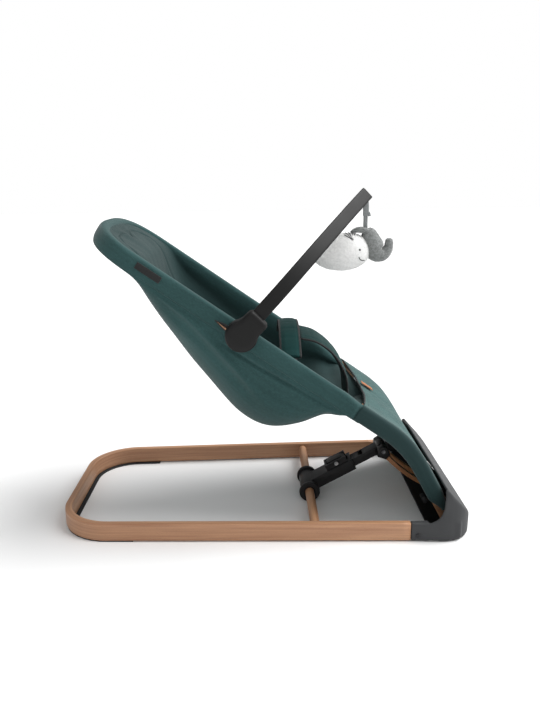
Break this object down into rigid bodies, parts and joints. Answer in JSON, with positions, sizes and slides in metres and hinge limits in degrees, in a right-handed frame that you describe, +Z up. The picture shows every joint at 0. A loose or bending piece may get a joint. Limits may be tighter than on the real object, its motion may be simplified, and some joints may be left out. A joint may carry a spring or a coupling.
{
  "type": "bouncer seat",
  "caption": "Baby bouncer seat: bent-wood floor frame, fabric sling on a sprung reclining frame, and a side-mounted toy arm.",
  "frame": {"origin": "on the floor, under the middle of the object's box", "axes": "+X from the head end to the feet, +Y to the baby's left, +Z up"},
  "size_m": [0.78, 0.43, 0.6241],
  "materials": {
    "beech": "satin lacquered beech",
    "housing_plastic": "fine moulded texture",
    "black_plastic": "satin moulded",
    "rubber": "matte anti-slip",
    "steel": "zinc plated",
    "sling_fabric": "dark petrol cotton jersey",
    "leg_fabric": "dark petrol jersey in full light",
    "belt_fabric": "deep teal lining, black binding",
    "webbing": "woven black tape",
    "leather": "tan tag",
    "white_plush": "short white plush",
    "grey_plush": "short grey plush"
  },
  "bodies": {
    "base": {"base_bow": "beech", "cross_dowel": "beech", "rear_grip_strip": "rubber", "front_housing": "housing_plastic", "housing_floor": "black_plastic", "front_foot_left": "rubber", "front_foot_right": "rubber", "rail_screw_left": "steel", "rail_screw_right": "steel", "shaft_ring_left": "steel", "shaft_ring_right": "steel", "pivot_shaft": "steel"},
    "slats": {"spring_slat_left": "beech", "spring_slat_right": "beech", "slat_head_left": "black_plastic", "slat_head_right": "black_plastic", "slat_foot": "black_plastic", "strut_pin": "steel"},
    "seat": {"seat_bow": "beech", "leg_lath_left": "beech", "leg_lath_right": "beech", "leg_bush_left": "black_plastic", "leg_bush_right": "black_plastic", "frame_bolt_left_1": "steel", "frame_bolt_left_2": "steel", "frame_bolt_right_1": "steel", "frame_bolt_right_2": "steel", "head_pocket": "sling_fabric", "rail_sleeve_left": "sling_fabric", "rail_sleeve_right": "sling_fabric", "leg_panel": "leg_fabric", "sling": "sling_fabric", "crotch_pad": "belt_fabric", "waist_belt": "belt_fabric", "belt_buckle_left": "black_plastic", "belt_buckle_right": "black_plastic", "belt_web_left": "webbing", "belt_web_right": "webbing", "side_label": "webbing", "leather_tag": "leather", "cover_clip_left": "black_plastic", "cover_clip_right": "black_plastic", "arm_bracket": "black_plastic"},
    "strut": {"strut_sleeve": "black_plastic", "hub_flange_left": "black_plastic", "hub_flange_right": "black_plastic", "latch_pin": "steel", "latch_spring": "steel"},
    "slider": {"strut_slider": "black_plastic"},
    "latch": {"latch_lever": "black_plastic"},
    "arm": {"toy_arm": "black_plastic", "arm_socket": "black_plastic"},
    "toys": {"toy_strap": "grey_plush", "plush_white": "white_plush", "plush_grey": "grey_plush"}
  },
  "joints": [
    {"name": "recline", "type": "hinge", "parent": "base", "child": "slats", "pos_m": [0.341, 0, 0.024], "axis": [0, -1, 0], "range_deg": [0, 20]},
    {"name": "bounce", "type": "hinge", "parent": "slats", "child": "seat", "pos_m": [0.341, 0, 0.024], "axis": [0, -1, 0], "range_deg": [-1, 4], "stiffness_Nm_per_rad": 200, "springref_deg": -2.01},
    {"name": "strut_pitch", "type": "hinge", "parent": "base", "child": "strut", "pos_m": [0.0905, 0, 0.0225], "axis": [0, 1, 0], "range_deg": [0, 10]},
    {"name": "strut_slide", "type": "slide", "parent": "strut", "child": "slider", "axis": [-0.8818, 0, -0.4717], "range_m": [0, 0.038]},
    {"name": "latch_press", "type": "hinge", "parent": "strut", "child": "latch", "pos_m": [0.14726, 0, 0.07327], "axis": [0, -1, 0], "range_deg": [0, 18], "stiffness_Nm_per_rad": 0.25, "springref_deg": -5.73},
    {"name": "arm_swing", "type": "hinge", "parent": "seat", "child": "arm", "pos_m": [-0.0345, -0.194, 0.3815], "axis": [0, -1, 0], "range_deg": [0, 70]},
    {"name": "toy_swing", "type": "hinge", "parent": "arm", "child": "toys", "pos_m": [0.199, 0, 0.597], "axis": [0, 1, 0], "range_deg": [-45, 45]}
  ],
  "couplings": [
    {"joint": "strut_pitch", "follows": "recline", "ratio": 0.47},
    {"joint": "strut_slide", "follows": "recline", "m_per_rad": 0.104}
  ]
}
